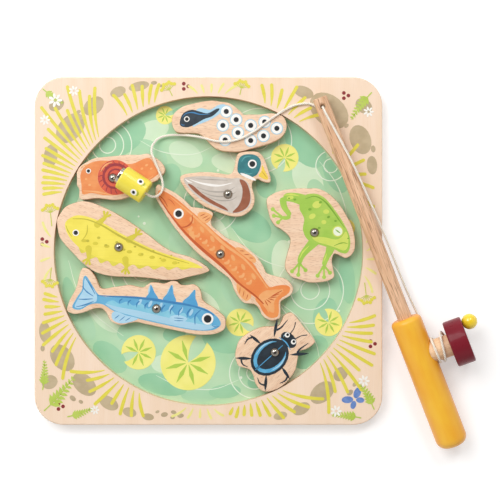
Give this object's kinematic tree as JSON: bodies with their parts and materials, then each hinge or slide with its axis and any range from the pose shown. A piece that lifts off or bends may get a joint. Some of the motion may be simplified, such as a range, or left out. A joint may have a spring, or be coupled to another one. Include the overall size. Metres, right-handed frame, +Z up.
{
  "type": "magnetic fishing game",
  "caption": "Square wooden pond board with loose plywood water animals and a toy fishing rod whose winding reel carries a cord and a magnetic bait.",
  "frame": {"origin": "centre of the square board, on its underside, where it rests on the table", "axes": "+Z up from the table, +Y towards the board's far edge where the rod's tip lies, +X towards the side where the rod leans"},
  "size_m": [0.3795, 0.32, 0.0418],
  "materials": {
    "board_wood": "sanded limewood, clear matt lacquer",
    "piece_wood": "sanded plywood, clear matt lacquer",
    "rod_wood": "sanded beech, clear satin lacquer",
    "handle_paint": "wood under satin orange-yellow lacquer",
    "disc_paint": "wood under glossy dark red lacquer",
    "knob_paint": "wood under glossy yellow lacquer",
    "bait_paint": "wood under satin yellow lacquer",
    "stud_steel": "polished nickel-plated steel",
    "screw_steel": "zinc-plated steel",
    "magnet_nickel": "nickel-plated magnet",
    "cord_cotton": "twisted cream cotton",
    "ink_water": "matt ink",
    "ink_depths": "matt ink",
    "ink_ripple": "matt ink",
    "ink_leaf": "matt ink",
    "ink_vein": "matt ink",
    "ink_stone": "matt ink",
    "ink_grass": "matt ink",
    "ink_white": "matt ink",
    "ink_black": "matt ink",
    "ink_berry": "matt ink",
    "ink_butterfly": "matt ink",
    "ink_navy": "matt ink",
    "ink_pale_blue": "matt ink",
    "ink_teal": "matt ink",
    "ink_dove": "matt ink",
    "ink_yellow": "matt ink",
    "ink_green": "matt ink",
    "ink_lime": "matt ink",
    "ink_blue": "matt ink",
    "ink_wing_blue": "matt ink",
    "ink_orange": "matt ink",
    "ink_apricot": "matt ink",
    "ink_lemon": "matt ink",
    "ink_red": "matt ink",
    "ink_maroon": "matt ink",
    "ink_brown": "matt ink"
  },
  "bodies": {
    "board_and_rod": {"base_panel": "board_wood", "frame_panel": "board_wood", "tadpole": "piece_wood", "duck": "piece_wood", "frog": "piece_wood", "beetle": "piece_wood", "pike": "piece_wood", "newt": "piece_wood", "stickleback": "piece_wood", "snail": "piece_wood", "duck_stud": "stud_steel", "frog_stud": "stud_steel", "beetle_stud": "stud_steel", "pike_stud": "stud_steel", "newt_stud": "stud_steel", "stickleback_stud": "stud_steel", "snail_stud": "stud_steel", "rod_dowel": "rod_wood", "handle": "handle_paint", "reel_screw": "screw_steel", "bait_body": "bait_paint", "bait_magnet": "magnet_nickel", "cord": "cord_cotton", "pond_water": "ink_water", "pond_depths": "ink_depths", "pond_ripples": "ink_ripple", "lily_pads": "ink_leaf", "lily_veins": "ink_vein", "shore_stones": "ink_stone", "shore_grass": "ink_grass", "shore_ferns": "ink_vein", "shore_blossoms": "ink_white", "shore_berries": "ink_berry", "shore_butterfly": "ink_butterfly", "tadpole_print": "ink_navy", "spawn_print": "ink_pale_blue", "duck_head_print": "ink_teal", "duck_body_print": "ink_dove", "duck_breast_print": "ink_brown", "duck_bill_print": "ink_yellow", "frog_print": "ink_green", "frog_spot_print": "ink_lime", "beetle_print": "ink_navy", "beetle_wing_print": "ink_wing_blue", "pike_print": "ink_orange", "pike_fin_print": "ink_apricot", "newt_print": "ink_lemon", "newt_leg_print": "ink_grass", "stickleback_print": "ink_blue", "stickleback_fin_print": "ink_pale_blue", "snail_shell_print": "ink_red", "snail_spiral_print": "ink_maroon", "snail_body_print": "ink_orange", "white_print": "ink_white", "black_print": "ink_black"},
    "reel": {"reel_drum": "rod_wood", "reel_disc": "disc_paint", "reel_peg": "rod_wood", "reel_knob": "knob_paint"}
  },
  "joints": [
    {"name": "reel_spin", "type": "hinge", "parent": "board_and_rod", "child": "reel", "pos_m": [0.18136, -0.0902, 0.0157], "axis": [0.9229, 0.3551, 0.1489], "continuous": true}
  ]
}
